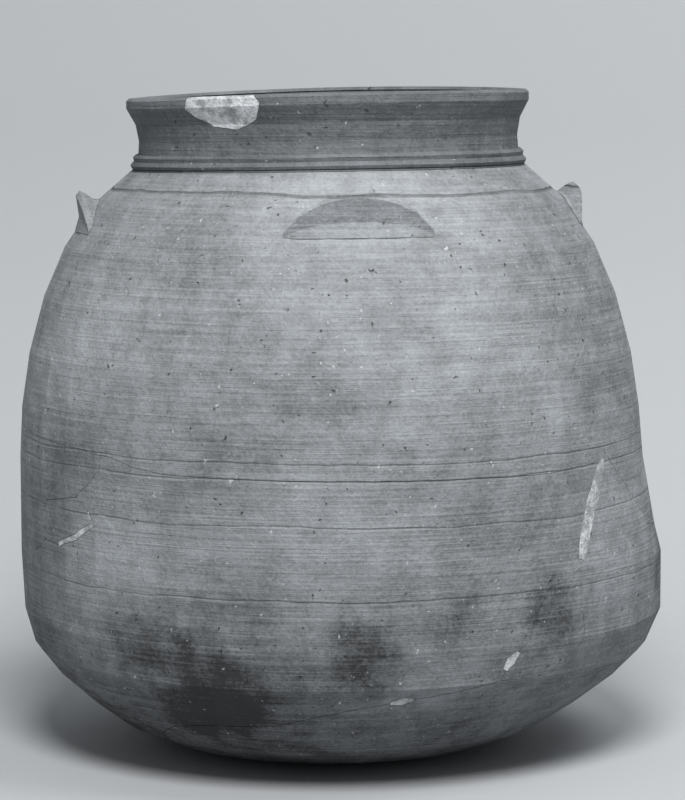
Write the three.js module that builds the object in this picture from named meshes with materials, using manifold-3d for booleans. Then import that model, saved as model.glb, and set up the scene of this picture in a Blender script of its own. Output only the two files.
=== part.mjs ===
// Handmade grey storage jar with four shoulder lugs, mended from its sherds.
// Millimetres, +Z up, origin at the centre of the resting face, front along -Y.
import * as THREE from "three";
import { mergeVertices } from "three/addons/utils/BufferGeometryUtils.js";
import Module from "manifold-3d";

const wasm = await Module();
wasm.setup();

// Body sizes: radii from the jar's axis, rises from the height named before them
const restRadius = 50;
const heelRadius = 142.5;
const heelHeight = 29;
const heelSlope = 42;
const heelCurve = 57;
const bellyRadius = 182.5;
const bellyRise = 143.5;
const bellyLowerCurve = 116;
const bellyUpperCurve = 54.5;
const neckRootRadius = 115;
const shoulderRise = 166.5;
const shoulderSlope = 32;
const shoulderCurve = 60;
const neckWaistRadius = 110.5;
const neckWaistRise = 17;
const lipRadius = 117.5;
const lipRise = 20;
const lipFace = 6;
const lipRounding = 1.6;
const wall = 8.5;
const glueGap = 0.3;
const rings = 40;

// Cordon pressed round the root of the neck
const cordonRise = 1.5;
const cordonHeight = 8;
const cordonThickness = 2.6;
const cordonGroove = 1.1;

// Four crescent lugs
const lugAzimuths = { lug_right: 6.5, lug_back: 96.5, lug_left: 186.5, lug_front: 276.5 };
const lugDrop = 35;
const lugHalfSpan = 16;
const lugHeight = 24;
const lugLean = 0.5;
const lugTip = 5;
const lugDish = 4;
const lugReach = 32;
const lugHorn = 0.16;

// Base sherd, broken out round the foot
const baseBreakRadius = 112;
const baseBreakWobble = 4;

// Distortions left by firing and mending
const rimTiltRight = 2.95;
const rimTiltBack = 1.5;
const rimSaddle = -1.1;
const neckShift = 1.8;
const bulgeDepth = 15;
const bulgeAzimuth = -8;
const bulgeHalfSpan = 60;
const bulgeHeight = 96;
const bulgeUpperReach = 48;
const bulgeLowerReach = 65;

const bellyHeight = heelHeight + bellyRise;
const neckRootHeight = bellyHeight + shoulderRise;
const neckWaistHeight = neckRootHeight + neckWaistRise;
const lipBottom = neckWaistHeight + lipRise;
const rimHeight = lipBottom + lipFace;

// Breaks as points of azimuth in degrees and height in percent of the belly's height
const waistBreak = [
  [-157, 109.5], [-142, 108.4], [-131, 106.7], [-126.5, 104.6], [-120, 103.1], [-95, 102.6],
  [-70, 102.3], [-49, 101.8], [-37, 103], [-33, 105.8], [-28.4, 97.6], [-23.3, 90.8], [-16, 78.3],
  [0, 74.5], [25, 81], [60, 92.5], [95, 101.5], [130, 106.5], [160, 110], [180, 111.3], [192, 110.7],
];
const breaks = [
  [[-33, 107], [-35, 100.5], [-38, 90], [-41, 77.7], [-42.2, 70.5]],
  [[-42.2, 70.5], [-46.5, 66.9], [-49.4, 65.6]],
  [[-49.4, 65.6], [-51.9, 58.3], [-53.6, 49.6], [-56.8, 43], [-58, 36.7]],
  [[-42.2, 70.5], [-42.5, 60.3], [-41, 48.5], [-41.9, 45.3]],
  [[-41.9, 45.3], [-44.5, 40.9], [-47.3, 36.8], [-51.8, 36.5], [-58, 36.7]],
  [[-44.5, 40.9], [-43, 33.5], [-40, 25], [-32.5, 17], [-27, 8], [-26, 3]],
  [[-58, 36.7], [-66, 34.2], [-76.3, 32], [-86.4, 29], [-94, 25.7], [-101.5, 22], [-117.6, 20.3],
    [-128, 17.5], [-136, 12], [-140, 3]],
  [[23, 81.5], [21, 64], [27, 44], [23, 26], [19, 12], [19, 3]],
  [[-162, 112], [-159.2, 87.4], [-154.6, 62], [-152, 46], [-155, 29], [-150, 12], [-149, 3]],
  [[-133.6, 109], [-134, 102.4], [-136.3, 98.2], [-140.6, 92.5], [-150.7, 89.4]],
  [[-149.5, 110], [-150, 104.3], [-146.6, 96.8], [-150.7, 89.4]],
  [[-140.6, 92.5], [-136.3, 87.6], [-136.1, 84.4], [-140.7, 79.6], [-147, 75.6], [-151.7, 76.6]],
  [[-150.7, 89.4], [-153, 83.5], [-151.7, 76.6]],
  [[-151.7, 76.6], [-153.7, 73.8], [-157.5, 71.4]],
];

// Plaster fills as points of azimuth, height percent and half width in millimetres
const fills = {
  fill_right_break: [[-33.6, 104, 1.6], [-35, 100.5, 4.2], [-36.6, 94.5, 4.7], [-38.2, 90, 4.6],
    [-41, 77.7, 4.2], [-42, 73, 2.4]],
  fill_junction: [[-55.4, 46, 1.4], [-56.8, 43, 3.4], [-57.6, 40, 1.8]],
  fill_lower_break: [[-74.4, 32.4, 1.2], [-76.6, 31.9, 2.6], [-79, 31.2, 1.2]],
  fill_left: [[-137.2, 88.6, 1.1], [-136.1, 84.4, 1.8], [-140.7, 79.6, 1.9], [-146.5, 75.9, 1.4]],
};

// Plaster patch in the lip: azimuth and depth of its lower edge below the rim
const lipPatch = [[-131, 8], [-128.5, 12], [-123, 17.5], [-117, 19.5], [-113.5, 15.5], [-112.3, 8.5]];

// A point inside each sherd, as azimuth and height percent
const sherdSeeds = {
  body_upper: [-90, 150],
  sherd_front_wall: [-90, 70],
  sherd_right_bulge: [-20, 50],
  sherd_right_triangle: [-48, 50],
  sherd_front_foot: [-65, 20],
  sherd_back_wall: [100, 60],
  sherd_left_upper: [-140, 102],
  sherd_left_lower: [-145, 84],
  sherd_left_edge: [-154, 97],
};

const rad = Math.PI / 180;
const polar = (azimuth, radius, height) =>
  new THREE.Vector3(radius * Math.cos(azimuth * rad), radius * Math.sin(azimuth * rad), height);

// Outer line of the jar from the resting face up to the lip
function outerCurve() {
  const heelX = heelCurve * Math.cos(heelSlope * rad);
  const heelZ = heelCurve * Math.sin(heelSlope * rad);
  const shoulderX = shoulderCurve * Math.cos(shoulderSlope * rad);
  const shoulderZ = shoulderCurve * Math.sin(shoulderSlope * rad);
  const parts = [
    [new THREE.CubicBezierCurve(
      new THREE.Vector2(restRadius, 0), new THREE.Vector2((restRadius + heelRadius) / 2, 0),
      new THREE.Vector2(heelRadius - heelX / 2, heelHeight - heelZ / 2),
      new THREE.Vector2(heelRadius, heelHeight)), 4],
    [new THREE.CubicBezierCurve(
      new THREE.Vector2(heelRadius, heelHeight),
      new THREE.Vector2(heelRadius + heelX, heelHeight + heelZ),
      new THREE.Vector2(bellyRadius, bellyHeight - bellyLowerCurve),
      new THREE.Vector2(bellyRadius, bellyHeight)), 5],
    [new THREE.CubicBezierCurve(
      new THREE.Vector2(bellyRadius, bellyHeight),
      new THREE.Vector2(bellyRadius, bellyHeight + bellyUpperCurve),
      new THREE.Vector2(neckRootRadius + shoulderX, neckRootHeight - shoulderZ),
      new THREE.Vector2(neckRootRadius, neckRootHeight)), 6],
    [new THREE.QuadraticBezierCurve(
      new THREE.Vector2(neckRootRadius, neckRootHeight),
      new THREE.Vector2(neckWaistRadius, neckRootHeight + neckWaistRise / 3),
      new THREE.Vector2(neckWaistRadius, neckWaistHeight)), 3],
    [new THREE.QuadraticBezierCurve(
      new THREE.Vector2(neckWaistRadius, neckWaistHeight),
      new THREE.Vector2(neckWaistRadius, neckWaistHeight + lipRise / 2),
      new THREE.Vector2(lipRadius, lipBottom)), 2],
  ];
  const points = [];
  for (const [curve, steps] of parts) points.push(...curve.getPoints(steps).slice(points.length ? 1 : 0));
  return points;
}

// The same line moved along its own normal, outwards where the distance is positive
function offsetLine(points, distance) {
  return points.map((point, i) => {
    const before = points[Math.max(i - 1, 0)];
    const after = points[Math.min(i + 1, points.length - 1)];
    const along = i === 0 ? new THREE.Vector2(1, 0) : after.clone().sub(before).normalize();
    return new THREE.Vector2(point.x + along.y * distance, point.y - along.x * distance);
  });
}

const outer = outerCurve();
const outerRadius = (height) => {
  const z = Math.min(Math.max(height, 0), lipBottom);
  const i = Math.max(1, outer.findIndex((point) => point.y >= z));
  const [low, high] = [outer[i - 1], outer[i]];
  return low.x + ((high.x - low.x) * (z - low.y)) / Math.max(high.y - low.y, 1e-6);
};

// A closed geometry as a solid, with shared corners merged and empty triangles dropped
function solidOf(geometry) {
  const bare = new THREE.BufferGeometry();
  bare.setAttribute("position", geometry.getAttribute("position"));
  if (geometry.index) bare.setIndex(geometry.index);
  const merged = mergeVertices(bare, 1e-4);
  const corners = merged.index.array;
  const kept = [];
  for (let i = 0; i < corners.length; i += 3) {
    const [a, b, c] = corners.slice(i, i + 3);
    if (a !== b && b !== c && c !== a) kept.push(a, b, c);
  }
  return new wasm.Manifold(new wasm.Mesh({
    numProp: 3,
    vertProperties: merged.attributes.position.array,
    triVerts: new Uint32Array(kept),
  }));
}

// A form turned round the jar's axis from a line of radius and height
function turned(line) {
  return solidOf(new THREE.LatheGeometry(line, rings).rotateX(Math.PI / 2));
}

// A closed tube through sections of four corners each, its two broad sides split alike
function strip(sections, closed) {
  const corners = sections.flat().flatMap((corner) => corner.toArray());
  const faces = [];
  const count = sections.length;
  for (let i = 0; i < (closed ? count : count - 1); i++) {
    for (let j = 0; j < 4; j++) {
      const a = 4 * i + j;
      const b = 4 * i + ((j + 1) % 4);
      const c = 4 * ((i + 1) % count) + ((j + 1) % 4);
      const d = 4 * ((i + 1) % count) + j;
      if (j === 3) faces.push(a, d, b, b, d, c);
      else faces.push(a, c, b, a, d, c);
    }
  }
  const last = 4 * (count - 1);
  if (!closed) faces.push(0, 1, 2, 0, 2, 3, last, last + 2, last + 1, last, last + 3, last + 2);
  const geometry = new THREE.BufferGeometry();
  geometry.setAttribute("position", new THREE.Float32BufferAttribute(corners, 3));
  geometry.setIndex(faces);
  return solidOf(geometry);
}

// A line on the wall in short steps, so that it follows the wall round
function fineLine(points, closed) {
  const line = [];
  const ends = closed ? [...points, [points[0][0] + 360, ...points[0].slice(1)]] : points;
  for (let i = 0; i + 1 < ends.length; i++) {
    const turn = closed && ends[i + 1][0] < ends[i][0] - 180 ? 360 : 0;
    const steps = Math.ceil(Math.abs(ends[i + 1][0] + turn - ends[i][0]) / 9) || 1;
    for (let k = 0; k < steps; k++) {
      const share = k / steps;
      line.push(ends[i].map((value, n) => value + (ends[i + 1][n] + (n ? 0 : turn) - value) * share));
    }
  }
  if (!closed) line.push(ends[ends.length - 1]);
  return line;
}

// A radial ribbon through the wall along points of azimuth, height and half width
function ribbon(line, closed, inset = 0, runOut = 0) {
  const count = line.length;
  const sections = line.map(([azimuth, height, half], i) => {
    const before = line[closed ? (i + count - 1) % count : Math.max(i - 1, 0)];
    const after = line[closed ? (i + 1) % count : Math.min(i + 1, count - 1)];
    const radius = outerRadius(height);
    const turn = ((((after[0] - before[0]) % 360) + 540) % 360) - 180;
    const along = new THREE.Vector2(turn * rad * radius, after[1] - before[1]).normalize();
    const pull = closed ? 0 : i === 0 ? inset - runOut : i === count - 1 ? runOut - inset : 0;
    const corner = (side, depth) => polar(
      azimuth + (along.x * pull - along.y * side) / radius / rad,
      depth,
      height + along.y * pull + along.x * side);
    const width = half - inset;
    const inside = Math.max(radius - 4 * wall, 1);
    return [corner(width, inside), corner(-width, inside),
      corner(-width, radius + 2 * wall), corner(width, radius + 2 * wall)];
  });
  return strip(sections, closed);
}

const fromPercent = ([azimuth, percent, half = glueGap / 2]) => [azimuth, (percent * bellyHeight) / 100, half];

// Outline of the base sherd, drawn in by the given distance and extruded upwards
function basePlug(inset) {
  const outline = [];
  for (let azimuth = 0; azimuth < 360; azimuth += 12) {
    const wobble = Math.sin(3 * azimuth * rad) + 0.6 * Math.sin(5 * azimuth * rad + 1);
    const point = polar(azimuth, baseBreakRadius + baseBreakWobble * wobble - inset, 0);
    outline.push(new THREE.Vector2(point.x, point.y));
  }
  const plug = new THREE.ExtrudeGeometry(new THREE.Shape(outline), {
    depth: heelHeight + wall, bevelEnabled: false,
  });
  return solidOf(plug.translate(0, 0, -wall / 2));
}

// The patch runs from its lower edge to above the lip
function lipPatchRibbon(inset) {
  const top = rimHeight + 2 * lipFace;
  return ribbon(lipPatch.map(([azimuth, depth]) => {
    const low = rimHeight - depth;
    return [azimuth, (top + low) / 2, (top - low) / 2];
  }), false, inset);
}

// Crescent lug: sections from one horn to the other, highest in the middle
function lug(azimuth, body) {
  const rootHeight = neckRootHeight - lugDrop;
  const rootRadius = outerRadius(rootHeight);
  const steps = 8;
  const points = [];
  for (let i = 0; i <= steps; i++) {
    const across = (2 * i) / steps - 1;
    const size = Math.max(Math.pow(1 - across * across, 0.6), lugHorn);
    const at = (outward, up) => polar(
      azimuth + across * lugHalfSpan, rootRadius + outward * size, rootHeight + up * size);
    points.push([
      at(0.4, 0), at(-lugLean - 1.6, lugHeight * 0.35), at(-lugLean, lugHeight - 2.5),
      at(-lugLean - lugTip * 0.45, lugHeight), at(-lugLean - lugTip, lugHeight - 1.4),
      at(-lugLean - 2 * lugTip, lugHeight - lugDish - 1), at(-lugReach, lugHeight - lugDish - 2),
      at(-lugReach, -2),
    ]);
  }
  return loft(points).subtract(body);
}

// A closed form through rings of equal point counts
function loft(sections) {
  const count = sections[0].length;
  const corners = sections.flat().flatMap((corner) => corner.toArray());
  const faces = [];
  for (let i = 0; i + 1 < sections.length; i++) {
    for (let j = 0; j < count; j++) {
      const a = count * i + j;
      const b = count * i + ((j + 1) % count);
      faces.push(a, b + count, b, a, a + count, b + count);
    }
  }
  const last = count * (sections.length - 1);
  for (let j = 1; j + 1 < count; j++) {
    faces.push(0, j, j + 1, last, last + j + 1, last + j);
  }
  const geometry = new THREE.BufferGeometry();
  geometry.setAttribute("position", new THREE.Float32BufferAttribute(corners, 3));
  geometry.setIndex(faces);
  return solidOf(geometry);
}

// Double ridge round the neck's root
function cordon(body) {
  const foot = neckRootHeight + cordonRise;
  const at = (share) => outerRadius(foot + cordonHeight * share);
  const inside = neckWaistRadius - wall / 2;
  const line = [
    new THREE.Vector2(inside, foot),
    new THREE.Vector2(at(0) + 0.4 * cordonThickness, foot),
    new THREE.Vector2(at(0.2) + cordonThickness, foot + cordonHeight * 0.2),
    new THREE.Vector2(at(0.5) + cordonThickness - cordonGroove, foot + cordonHeight * 0.5),
    new THREE.Vector2(at(0.78) + cordonThickness, foot + cordonHeight * 0.78),
    new THREE.Vector2(at(1) + 0.4 * cordonThickness, foot + cordonHeight),
    new THREE.Vector2(inside, foot + cordonHeight),
    new THREE.Vector2(inside, foot),
  ];
  return turned(line).subtract(body);
}

// Tilt of the mouth, shift of the neck and the bulging lower right side
function settle(x, y, z) {
  const rise = Math.max(0, (z - bellyHeight) / (rimHeight - bellyHeight));
  const lift = rise * rise;
  const radius = Math.hypot(x, y);
  const swing = ((((Math.atan2(y, x) / rad - bulgeAzimuth) % 360) + 540) % 360) - 180;
  const side = Math.abs(swing) < bulgeHalfSpan ? Math.cos((swing / bulgeHalfSpan) * 90 * rad) ** 2 : 0;
  const reach = z > bulgeHeight ? bulgeUpperReach : bulgeLowerReach;
  const fade = Math.min(1, radius / heelRadius) * Math.exp(-(((z - bulgeHeight) / reach) ** 2));
  const grow = 1 + (bulgeDepth * side * fade) / Math.max(radius, 1);
  const [right, back] = [x / lipRadius, y / lipRadius];
  const tilt = rimTiltRight * right + rimTiltBack * back + rimSaddle * (right ** 2 - back ** 2);
  return [x * grow - neckShift * lift, y * grow, z + tilt * lift];
}

const group = new THREE.Group();
const clay = new THREE.MeshStandardMaterial({ color: 0x8b8e91, roughness: 0.9, metalness: 0 });
const darkClay = new THREE.MeshStandardMaterial({ color: 0x6f7377, roughness: 0.9, metalness: 0 });
const plaster = new THREE.MeshStandardMaterial({ color: 0xd6d9dc, roughness: 0.95, metalness: 0 });

// The largest body of a solid, without the crumbs where two breaks cross
function largest(solid) {
  return solid.decompose().reduce((best, body) => (body.volume() > best.volume() ? body : best));
}

function add(name, solid, material) {
  const mesh = largest(solid).getMesh();
  const positions = [];
  for (let i = 0; i < mesh.numVert; i++) {
    positions.push(...settle(...mesh.vertProperties.slice(i * mesh.numProp, i * mesh.numProp + 3)));
  }
  const geometry = new THREE.BufferGeometry();
  geometry.setAttribute("position", new THREE.Float32BufferAttribute(positions, 3));
  geometry.setIndex([...mesh.triVerts]);
  const made = new THREE.Mesh(geometry, material);
  made.name = name;
  group.add(made);
}

// The whole vessel, open at the mouth
const lipLine = [
  new THREE.Vector2(lipRadius, rimHeight - lipRounding),
  new THREE.Vector2(lipRadius - lipRounding, rimHeight),
  new THREE.Vector2(lipRadius - wall + lipRounding, rimHeight),
  new THREE.Vector2(lipRadius - wall, rimHeight - lipRounding),
];
const inner = offsetLine(outer, -wall).reverse();
const vessel = turned([
  new THREE.Vector2(0, 0), ...outer, ...lipLine, ...inner, new THREE.Vector2(0, wall),
]);
const envelope = turned([
  new THREE.Vector2(0, -glueGap), ...offsetLine(outer, glueGap), new THREE.Vector2(0, lipBottom),
]);

// Base sherd, then the wall without it
const base = vessel.intersect(basePlug(glueGap / 2));
const neckJoint = [0, 60, 120, 180, 240, 300].map((azimuth) => [azimuth, neckRootHeight, glueGap / 2]);
const cuts = [
  ribbon(fineLine(neckJoint, true), true),
  ribbon(fineLine(waistBreak.map(fromPercent), true), true),
  ...breaks.map((line) => ribbon(fineLine(line.map(fromPercent), false), false, 0, 3 * glueGap)),
  ...Object.values(fills).map((line) => ribbon(line.map(fromPercent), false)),
  lipPatchRibbon(0),
];
const sherds = vessel.subtract(basePlug(-glueGap / 2)).subtract(wasm.Manifold.union(cuts)).decompose();

// The sherd that holds the most of a small needle through the wall at a point
function sherdAt([azimuth, height]) {
  const needle = ribbon([[azimuth - 0.6, height, 1], [azimuth + 0.6, height, 1]], false);
  const shares = sherds.map((sherd) => sherd.intersect(needle).volume());
  return sherds[shares.indexOf(Math.max(...shares))];
}

add("neck_and_rim", sherdAt([-60, neckWaistHeight]), darkClay);
for (const [name, seed] of Object.entries(sherdSeeds)) add(name, sherdAt(fromPercent(seed)), clay);
add("sherd_base", base, darkClay);
for (const [name, line] of Object.entries(fills)) {
  add(name, vessel.intersect(ribbon(line.map(fromPercent), false, glueGap)), plaster);
}
add("fill_lip_patch", vessel.intersect(lipPatchRibbon(glueGap)), plaster);
add("neck_cordon", cordon(envelope), darkClay);
for (const [name, azimuth] of Object.entries(lugAzimuths)) add(name, lug(azimuth, envelope), clay);

export default group;
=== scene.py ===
import math

import bpy
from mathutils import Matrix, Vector


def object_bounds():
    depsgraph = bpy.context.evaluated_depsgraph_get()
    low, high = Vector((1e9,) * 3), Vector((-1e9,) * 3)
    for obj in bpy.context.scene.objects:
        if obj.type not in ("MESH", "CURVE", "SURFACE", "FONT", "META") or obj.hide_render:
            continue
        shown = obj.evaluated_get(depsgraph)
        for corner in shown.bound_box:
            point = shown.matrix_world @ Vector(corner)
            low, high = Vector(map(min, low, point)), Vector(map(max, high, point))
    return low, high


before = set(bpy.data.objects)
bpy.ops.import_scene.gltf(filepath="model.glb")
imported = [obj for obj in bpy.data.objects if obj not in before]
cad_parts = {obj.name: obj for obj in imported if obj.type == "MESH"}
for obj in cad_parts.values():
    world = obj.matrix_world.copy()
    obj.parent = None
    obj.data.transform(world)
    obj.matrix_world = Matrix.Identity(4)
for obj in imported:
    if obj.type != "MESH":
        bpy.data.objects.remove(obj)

size_at_load = [list(corner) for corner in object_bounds()]

# Camera of the photograph, in metres, degrees and pixels
CAMERA_BACK = 1.711
CAMERA_HEIGHT = 0.384
CAMERA_PITCH = 6.1
CAMERA_YAW = -0.236
CAMERA_SIGHT = 60.0
FOCAL_PIXELS = 2916.5
IMAGE_WIDTH = 685
SENSOR_WIDTH = 36.0

# Lamps: place, aim and size in metres, power in watts
KEY_PLACE = (0.05, -1.35, 1.75)
KEY_AIM = (0.0, 0.0, 0.2)
KEY_SIZE = 0.8
KEY_POWER = 50.0
WALL_LIGHT_PLACE = (1.0, -0.4, 1.9)
WALL_LIGHT_AIM = (1.0, 1.0, 0.9)
WALL_LIGHT_SIZE = 1.0
WALL_LIGHT_POWER = 20.0
WORLD_TONE = 0.86
WORLD_STRENGTH = 0.30

# Paper sweep under and behind the jar, in metres
SWEEP_FRONT = 2.4
SWEEP_BEND = 0.25
SWEEP_RADIUS = 0.35
SWEEP_LENGTH = 6.0
SWEEP_WIDTH = 7.0
SWEEP_DROP = 0.0004
SWEEP_STEPS = 60
PAPER_TONE = 0.42
PAPER_ROUGHNESS = 0.95

# Pieces of each finish
CLAY = ["body_upper", "sherd_front_wall", "sherd_right_bulge", "sherd_right_triangle", "sherd_front_foot",
        "sherd_back_wall", "sherd_left_upper", "sherd_left_lower", "sherd_left_edge", "sherd_base",
        "lug_right", "lug_back", "lug_left", "lug_front"]
NECK = ["neck_and_rim", "neck_cordon"]
PLASTER = ["fill_right_break", "fill_junction", "fill_lower_break", "fill_left", "fill_lip_patch"]

# Tones and roughness of the two clays, and how far the mottling moves the roughness
GREY_CLAY_TONE = (0.212, 0.223, 0.233)
GREY_CLAY_ROUGHNESS = 0.82
DARK_CLAY_TONE = (0.118, 0.126, 0.133)
DARK_CLAY_ROUGHNESS = 0.8
SMOOTHER = 0.1
ROUGHER = 0.08
CLAY_SPECULAR = 0.3
CLAY_CONTRAST = 0.62
DARKEST_SHARE = 0.16
COOL_TINT = (0.97, 1.0, 1.03)

# Layers of the clay, each a noise of scale, detail and roughness
BROAD = (11.0, 5.0, 0.62)
MOTTLE = (70.0, 8.0, 0.68)
GRAIN = (520.0, 6.0, 0.7)
WIPING = (1.0, 6.0, 0.6)
FINE_WIPING = (1.0, 4.0, 0.6)
SPECKS = (330.0, 2.0, 0.4)
PITS = (260.0, 3.0, 0.5)
CLOUD_EDGE = (38.0, 5.0, 0.6)
LINE_SWAY = (14.0, 3.0, 0.6)
WIPING_STRETCH = (10.0, 10.0, 620.0)
FINE_WIPING_STRETCH = (24.0, 24.0, 1500.0)

# How much of a noise counts on each side of its middle, and how far each layer lightens or darkens
NOISE_MIDDLE = 0.5
NOISE_SPREAD = 0.2
WIPING_SPREAD = 0.15
BROAD_STRENGTH = 0.30
MOTTLE_STRENGTH = 0.30
GRAIN_STRENGTH = 0.26
WIPING_STRENGTH = 0.16
FINE_WIPING_STRENGTH = 0.10

# Painted shade that darkens the foot and fades upwards, with its heights in metres
FOOT_PAINTED_SHADE = -0.75
FOOT_PAINTED_SHADE_FULL = 0.02
FOOT_PAINTED_SHADE_GONE = 0.15

# Pale specks, and pits darkened with painted shade: noise at their edge and heart, share of colour, tone
SPECK_EDGE = 0.715
SPECK_HEART = 0.77
SPECK_SHARE = 0.55
SPECK_TONE = 0.62
PIT_EDGE = 0.30
PIT_HEART = 0.24
PIT_SHADE_SHARE = 0.6
PIT_SHADE_TONE = 0.03

# Lines turned into the jar: heights, half widths and sway in metres
SHOULDER_LINE = 0.3262
SHOULDER_LINE_HALF = 0.0011
TURNING_LINES = (0.1855, 0.1765, 0.1515, 0.112)
TURNING_LINE_HALF = 0.0009
TURNING_LINE_STRENGTH = 0.3
LINE_SWAY_DEPTH = 0.006
# Share and tone of the painted shade that darkens the lines in their grooves
LINE_SHADE_SHARE = 0.5
LINE_SHADE_TONE = 0.05

# Depths of the clay's bumps, in metres
BROAD_BUMP = 0.004
MOTTLE_BUMP = 0.0016
WIPING_BUMP = 0.0007
GRAIN_BUMP = 0.0005
LINE_BUMP = 0.0012

# Rough outline that places the clouds, in metres: the left side has no bulge
BELLY_RADIUS = -size_at_load[0][0]
SHOULDER_START = 0.25
SHOULDER_SLOPE = 0.62
FOOT_START = 0.09
FOOT_SLOPE = 0.6

# Clouds on the clay, partly painted light: azimuth and height of the centre, radius in metres, strength
# below zero for darker and above zero for paler. The pale ones on the front of the upper belly are a
# painted pool of light, and the dark ones low on the front and on the left are painted shade.
CLOUDS_AND_PAINTED_LIGHT = [
    (-112, 0.060, 0.034, -0.8), (-125, 0.085, 0.030, -0.7), (-118, 0.048, 0.030, -0.7),
    (-84, 0.083, 0.020, -0.7), (-68, 0.092, 0.018, -0.6), (-48, 0.101, 0.020, -0.8),
    (-10, 0.110, 0.022, -0.7), (-135, 0.270, 0.050, 0.35), (-146, 0.235, 0.040, 0.45),
    (-132, 0.125, 0.035, 0.5), (-30, 0.105, 0.020, 0.5), (-70, 0.066, 0.030, 0.5),
    (-85, 0.290, 0.085, 0.35), (-60, 0.230, 0.070, 0.3), (-95, 0.160, 0.060, 0.15),
    (-150, 0.150, 0.060, -0.25), (-40, 0.300, 0.050, -0.2), (60, 0.090, 0.050, -0.7),
    (120, 0.260, 0.060, 0.35), (170, 0.120, 0.050, -0.5), (30, 0.240, 0.060, 0.3),
]
CLOUD_EDGE_DEPTH = 0.05
CLOUD_HEART = 0.25
CLOUD_REACH = 1.35
DEEPEST_CLOUD = -0.75

# Mending plaster: its two noises, where each shows, its tones and its bumps in metres
PLASTER_PATCH = (90.0, 6.0, 0.7)
PLASTER_PATCH_LOW = 0.4
PLASTER_PATCH_HIGH = 0.62
PLASTER_PATCH_BUMP = 0.003
PLASTER_GRAIN = (700.0, 5.0, 0.7)
PLASTER_GRAIN_LOW = 0.62
PLASTER_GRAIN_HIGH = 0.7
PLASTER_GRAIN_BUMP = 0.0008
PLASTER_SHADED = 0.30
PLASTER_PALE = 0.68
PLASTER_GRAIN_TONE = 0.12
PLASTER_ROUGHNESS = 0.92

# Places of the colour sockets on Blender's Mix node
MIX_FIRST = 6
MIX_SECOND = 7
MIX_RESULT = 2


def grey(value):
    """A slightly cool grey."""
    return tuple(value * share for share in COOL_TINT) + (1.0,)


class Finish:
    """Short calls for the nodes of one material."""

    def __init__(self, name):
        self.material = bpy.data.materials.new(name)
        self.material.use_nodes = True
        self.nodes = self.material.node_tree.nodes
        self.links = self.material.node_tree.links
        self.nodes.clear()
        output = self.nodes.new("ShaderNodeOutputMaterial")
        self.shader = self.nodes.new("ShaderNodeBsdfPrincipled")
        self.links.new(self.shader.outputs[0], output.inputs["Surface"])
        self.place = self.nodes.new("ShaderNodeTexCoord").outputs["Object"]

    def put(self, socket, value):
        """Links another node's output to a socket, or sets a plain value."""
        if isinstance(value, bpy.types.NodeSocket):
            self.links.new(value, socket)
        else:
            socket.default_value = value

    def math(self, operation, first, second=0.0):
        node = self.nodes.new("ShaderNodeMath")
        node.operation = operation
        self.put(node.inputs[0], first)
        self.put(node.inputs[1], second)
        return node.outputs[0]

    def add(self, first, *others):
        total = first
        for other in others:
            total = self.math("ADD", total, other)
        return total

    def times(self, first, second):
        return self.math("MULTIPLY", first, second)

    def vector_math(self, operation):
        node = self.nodes.new("ShaderNodeVectorMath")
        node.operation = operation
        return node

    def height(self):
        """Height above the floor."""
        node = self.nodes.new("ShaderNodeSeparateXYZ")
        self.links.new(self.place, node.inputs[0])
        return node.outputs["Z"]

    def distance(self, point):
        """Distance from a fixed point."""
        node = self.vector_math("DISTANCE")
        self.links.new(self.place, node.inputs[0])
        node.inputs[1].default_value = point
        return node.outputs["Value"]

    def scaled(self, tone, share):
        """A fixed tone, made lighter or darker."""
        node = self.vector_math("SCALE")
        node.inputs[0].default_value = tone
        self.links.new(share, node.inputs["Scale"])
        return node.outputs[0]

    def stretched(self, x, y, z):
        """The place on the piece, scaled along each axis."""
        node = self.nodes.new("ShaderNodeMapping")
        self.links.new(self.place, node.inputs["Vector"])
        node.inputs["Scale"].default_value = (x, y, z)
        return node.outputs[0]

    def noise(self, scale, detail, roughness, place=None):
        node = self.nodes.new("ShaderNodeTexNoise")
        self.links.new(place or self.place, node.inputs["Vector"])
        node.inputs["Scale"].default_value = scale
        node.inputs["Detail"].default_value = detail
        node.inputs["Roughness"].default_value = roughness
        return node.outputs[0]

    def between(self, value, low, high, to_low=0.0, to_high=1.0):
        """Carries the value smoothly from one range to another."""
        node = self.nodes.new("ShaderNodeMapRange")
        node.interpolation_type = "SMOOTHSTEP"
        for socket, given in zip(node.inputs, (value, low, high, to_low, to_high)):
            self.put(socket, given)
        return node.outputs[0]

    def signed(self, noise, spread, strength):
        """A noise as a value from minus to plus its strength."""
        return self.between(noise, NOISE_MIDDLE - spread, NOISE_MIDDLE + spread, -strength, strength)

    def mix(self, share, first, second):
        node = self.nodes.new("ShaderNodeMix")
        node.data_type = "RGBA"
        self.put(node.inputs["Factor"], share)
        self.put(node.inputs[MIX_FIRST], first)
        self.put(node.inputs[MIX_SECOND], second)
        return node.outputs[MIX_RESULT]

    def bump(self, height, depth, before=None):
        node = self.nodes.new("ShaderNodeBump")
        node.inputs["Distance"].default_value = depth
        self.put(node.inputs["Height"], height)
        if before is not None:
            self.links.new(before, node.inputs["Normal"])
        return node.outputs[0]


def belly_point(azimuth, height):
    """A point near the wall at that azimuth and height."""
    radius = BELLY_RADIUS
    if height > SHOULDER_START:
        radius -= (height - SHOULDER_START) * SHOULDER_SLOPE
    if height < FOOT_START:
        radius -= (FOOT_START - height) * FOOT_SLOPE
    turn = math.radians(azimuth)
    return radius * math.cos(turn), radius * math.sin(turn), height


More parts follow.
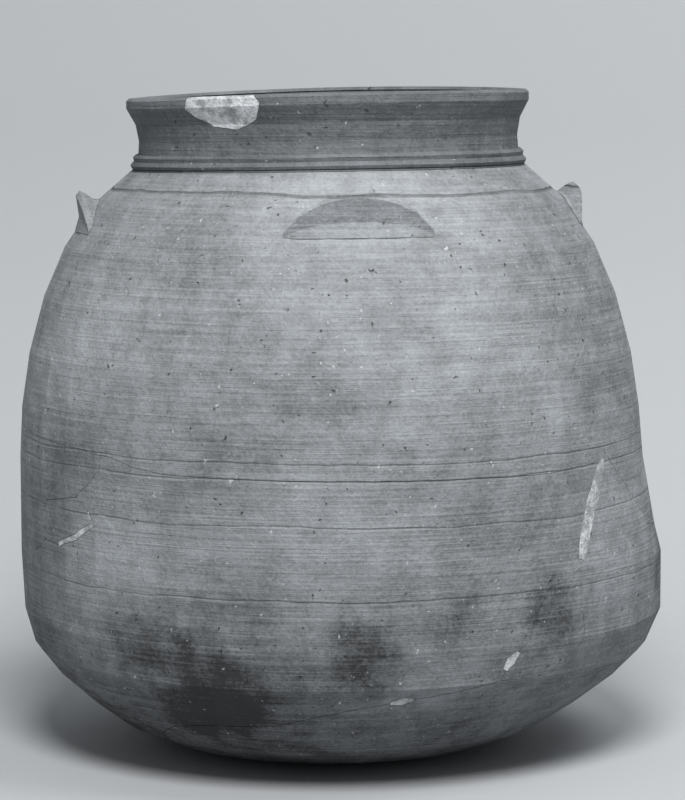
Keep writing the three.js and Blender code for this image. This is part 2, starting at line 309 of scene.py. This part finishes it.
def clouds_and_painted_light(finish):
    """The pale and dark cloud marks, partly painted light and shade, as one signed value."""
    edge = finish.times(finish.noise(*CLOUD_EDGE), CLOUD_EDGE_DEPTH)
    wander = finish.math("SUBTRACT", edge, CLOUD_EDGE_DEPTH / 2)
    spots = []
    for azimuth, height, radius, strength in CLOUDS_AND_PAINTED_LIGHT:
        away = finish.add(finish.distance(belly_point(azimuth, height)), wander)
        spots.append(finish.between(away, radius * CLOUD_HEART, radius * CLOUD_REACH, strength, 0.0))
    return finish.math("MAXIMUM", finish.add(*spots), DEEPEST_CLOUD)


def height_band(finish, height, at, half):
    """One at the given height, fading to zero within the half width."""
    away = finish.math("ABSOLUTE", finish.math("SUBTRACT", height, at))
    return finish.between(away, 0.0, half, 1.0, 0.0)


def turned_lines(finish, height):
    """The line on the shoulder and the fainter turning lines below it, as one value."""
    sway = finish.math("SUBTRACT", finish.noise(*LINE_SWAY), NOISE_MIDDLE)
    swayed = finish.add(height, finish.times(sway, LINE_SWAY_DEPTH))
    lines = height_band(finish, swayed, SHOULDER_LINE, SHOULDER_LINE_HALF)
    for at in TURNING_LINES:
        band = height_band(finish, swayed, at, TURNING_LINE_HALF)
        lines = finish.math("MAXIMUM", lines, finish.times(band, TURNING_LINE_STRENGTH))
    return lines


def clay_material(name, tone, roughness):
    """Wiped, mottled and clouded clay in the given tone, with painted shade on the foot, in the pits and
    in the lines, and painted light and shade among its cloud marks.
    """
    finish = Finish(name)
    height = finish.height()
    broad = finish.noise(*BROAD)
    mottle = finish.noise(*MOTTLE)
    grain = finish.noise(*GRAIN)
    wiping = finish.noise(*WIPING, finish.stretched(*WIPING_STRETCH))
    fine_wiping = finish.noise(*FINE_WIPING, finish.stretched(*FINE_WIPING_STRETCH))
    specks = finish.between(finish.noise(*SPECKS), SPECK_EDGE, SPECK_HEART)
    pits = finish.between(finish.noise(*PITS), PIT_EDGE, PIT_HEART)
    lines = turned_lines(finish, height)

    value = finish.add(
        finish.signed(broad, NOISE_SPREAD, BROAD_STRENGTH),
        finish.signed(mottle, NOISE_SPREAD, MOTTLE_STRENGTH),
        finish.signed(grain, NOISE_SPREAD, GRAIN_STRENGTH),
        finish.signed(wiping, WIPING_SPREAD, WIPING_STRENGTH),
        finish.signed(fine_wiping, WIPING_SPREAD, FINE_WIPING_STRENGTH),
        # pale and dark cloud marks, partly painted light and shade
        clouds_and_painted_light(finish),
        # painted shade that darkens the foot, fading upwards
        finish.between(height, FOOT_PAINTED_SHADE_FULL, FOOT_PAINTED_SHADE_GONE, FOOT_PAINTED_SHADE, 0.0),
    )
    share = finish.math("MAXIMUM", finish.add(finish.times(value, CLAY_CONTRAST), 1.0), DARKEST_SHARE)
    shade = finish.scaled(tone, share)
    shade = finish.mix(finish.times(specks, SPECK_SHARE), shade, grey(SPECK_TONE))
    # pits darkened with painted shade
    shade = finish.mix(finish.times(pits, PIT_SHADE_SHARE), shade, grey(PIT_SHADE_TONE))
    # turned lines darkened with painted shade in their grooves
    shade = finish.mix(finish.times(lines, LINE_SHADE_SHARE), shade, grey(LINE_SHADE_TONE))
    finish.put(finish.shader.inputs["Base Color"], shade)

    rough = finish.between(mottle, NOISE_MIDDLE - NOISE_SPREAD, NOISE_MIDDLE + NOISE_SPREAD,
                           roughness - SMOOTHER, roughness + ROUGHER)
    finish.put(finish.shader.inputs["Roughness"], rough)
    finish.shader.inputs["Specular IOR Level"].default_value = CLAY_SPECULAR

    normal = finish.bump(broad, BROAD_BUMP)
    normal = finish.bump(mottle, MOTTLE_BUMP, normal)
    normal = finish.bump(wiping, WIPING_BUMP, normal)
    normal = finish.bump(grain, GRAIN_BUMP, normal)
    sunk = finish.times(finish.add(lines, pits), -1.0)
    finish.put(finish.shader.inputs["Normal"], finish.bump(sunk, LINE_BUMP, normal))
    return finish.material


def plaster_material():
    """Pale mending plaster, patchy and grainy."""
    finish = Finish("mending_plaster")
    patch = finish.noise(*PLASTER_PATCH)
    grain = finish.noise(*PLASTER_GRAIN)
    patches = finish.between(patch, PLASTER_PATCH_LOW, PLASTER_PATCH_HIGH)
    grains = finish.between(grain, PLASTER_GRAIN_LOW, PLASTER_GRAIN_HIGH)
    shade = finish.mix(patches, grey(PLASTER_SHADED), grey(PLASTER_PALE))
    shade = finish.mix(grains, shade, grey(PLASTER_GRAIN_TONE))
    finish.put(finish.shader.inputs["Base Color"], shade)
    finish.shader.inputs["Roughness"].default_value = PLASTER_ROUGHNESS
    normal = finish.bump(patch, PLASTER_PATCH_BUMP)
    finish.put(finish.shader.inputs["Normal"], finish.bump(grain, PLASTER_GRAIN_BUMP, normal))
    return finish.material


def paper_material():
    finish = Finish("floor_paper")
    finish.shader.inputs["Base Color"].default_value = grey(PAPER_TONE)
    finish.shader.inputs["Roughness"].default_value = PAPER_ROUGHNESS
    return finish.material


def smooth(mesh):
    """Shades every face of a mesh smoothly."""
    for face in mesh.polygons:
        face.use_smooth = True


def dress(names, material):
    """Gives CAD nodes a material and smooth shading."""
    for name in names:
        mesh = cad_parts[name].data
        mesh.materials.clear()
        mesh.materials.append(material)
        smooth(mesh)


def floor_and_backdrop():
    """A pale paper sweep: floor, a soft bend behind the jar, and a wall."""
    bpy.ops.mesh.primitive_grid_add(x_subdivisions=2, y_subdivisions=SWEEP_STEPS, size=1.0)
    sweep = bpy.context.active_object
    sweep.name = "floor"
    quarter_turn = math.pi / 2
    for vertex in sweep.data.vertices:
        along = (vertex.co.y + 0.5) * SWEEP_LENGTH - SWEEP_FRONT
        over = max(0.0, along - SWEEP_BEND)
        turn = min(over / SWEEP_RADIUS, quarter_turn)
        up_the_wall = max(0.0, over - SWEEP_RADIUS * quarter_turn)
        x = vertex.co.x * SWEEP_WIDTH
        y = min(along, SWEEP_BEND) + SWEEP_RADIUS * math.sin(turn)
        z = SWEEP_RADIUS * (1.0 - math.cos(turn)) + up_the_wall - SWEEP_DROP
        vertex.co = (x, y, z)
    smooth(sweep.data)
    sweep.data.materials.append(paper_material())


def area_light(name, place, aim, size, power):
    light = bpy.data.lights.new(name, "AREA")
    light.shape = "DISK"
    light.size = size
    light.energy = power
    lamp = bpy.data.objects.new(name, light)
    lamp.location = place
    lamp.rotation_euler = (Vector(aim) - Vector(place)).to_track_quat("-Z", "Y").to_euler()
    bpy.context.scene.collection.objects.link(lamp)


def world_light():
    world = bpy.data.worlds.new("studio")
    world.use_nodes = True
    back = world.node_tree.nodes["Background"]
    back.inputs["Color"].default_value = grey(WORLD_TONE)
    back.inputs["Strength"].default_value = WORLD_STRENGTH
    bpy.context.scene.world = world


def photograph_camera():
    data = bpy.data.cameras.new("photograph")
    data.sensor_fit = "HORIZONTAL"
    data.sensor_width = SENSOR_WIDTH
    data.lens = FOCAL_PIXELS / IMAGE_WIDTH * SENSOR_WIDTH
    data.clip_end = CAMERA_SIGHT
    camera = bpy.data.objects.new("photograph", data)
    camera.location = (0.0, -CAMERA_BACK, CAMERA_HEIGHT)
    camera.rotation_euler = (math.radians(90 - CAMERA_PITCH), 0.0, math.radians(CAMERA_YAW))
    bpy.context.scene.collection.objects.link(camera)
    bpy.context.scene.camera = camera


bpy.context.scene.view_settings.view_transform = "Standard"
photograph_camera()
world_light()
floor_and_backdrop()
area_light("key", KEY_PLACE, KEY_AIM, KEY_SIZE, KEY_POWER)
area_light("wall_light", WALL_LIGHT_PLACE, WALL_LIGHT_AIM, WALL_LIGHT_SIZE, WALL_LIGHT_POWER)
dress(CLAY, clay_material("grey_clay", GREY_CLAY_TONE, GREY_CLAY_ROUGHNESS))
dress(NECK, clay_material("dark_clay", DARK_CLAY_TONE, DARK_CLAY_ROUGHNESS))
dress(PLASTER, plaster_material())
